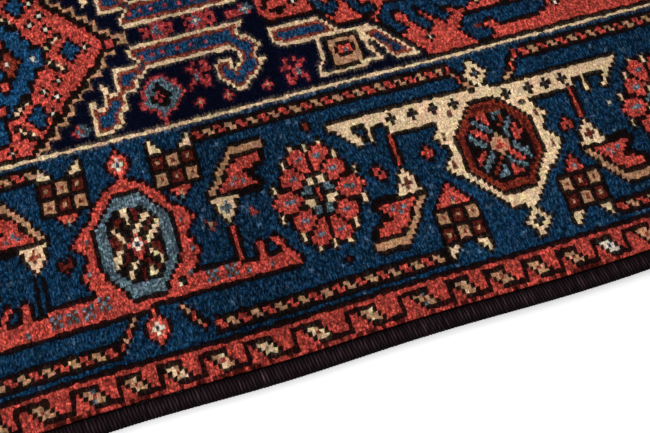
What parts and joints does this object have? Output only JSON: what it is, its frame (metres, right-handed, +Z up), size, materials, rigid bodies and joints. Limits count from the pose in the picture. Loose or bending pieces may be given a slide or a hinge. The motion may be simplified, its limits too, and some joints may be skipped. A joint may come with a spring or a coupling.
{
  "type": "persian rug",
  "caption": "Hand-knotted wool runner with a blue turtle-and-rosette border, a stepped medallion field, dark overcast sides and a short fringe at each end, lying flat.",
  "frame": {"origin": "on the floor, under the middle of the rug", "axes": "+X along the length, +Y across it to the far side, +Z up"},
  "size_m": [2.1364, 0.7572, 0.009],
  "materials": {
    "wool_pile": "knotted wool pile, cut short, matt with a slight sheen, knots of several colours",
    "wool_cord": "black-brown wool wound tightly round the side cords",
    "warp_wool": "undyed ivory warp yarn, flat-woven and knotted, matt"
  },
  "bodies": {
    "root": {"pile_body": "wool_pile", "side_cord_near": "wool_cord", "side_cord_far": "wool_cord", "end_band_left": "warp_wool", "end_band_right": "warp_wool", "fringe_left": "warp_wool", "fringe_right": "warp_wool"}
  },
  "joints": []
}
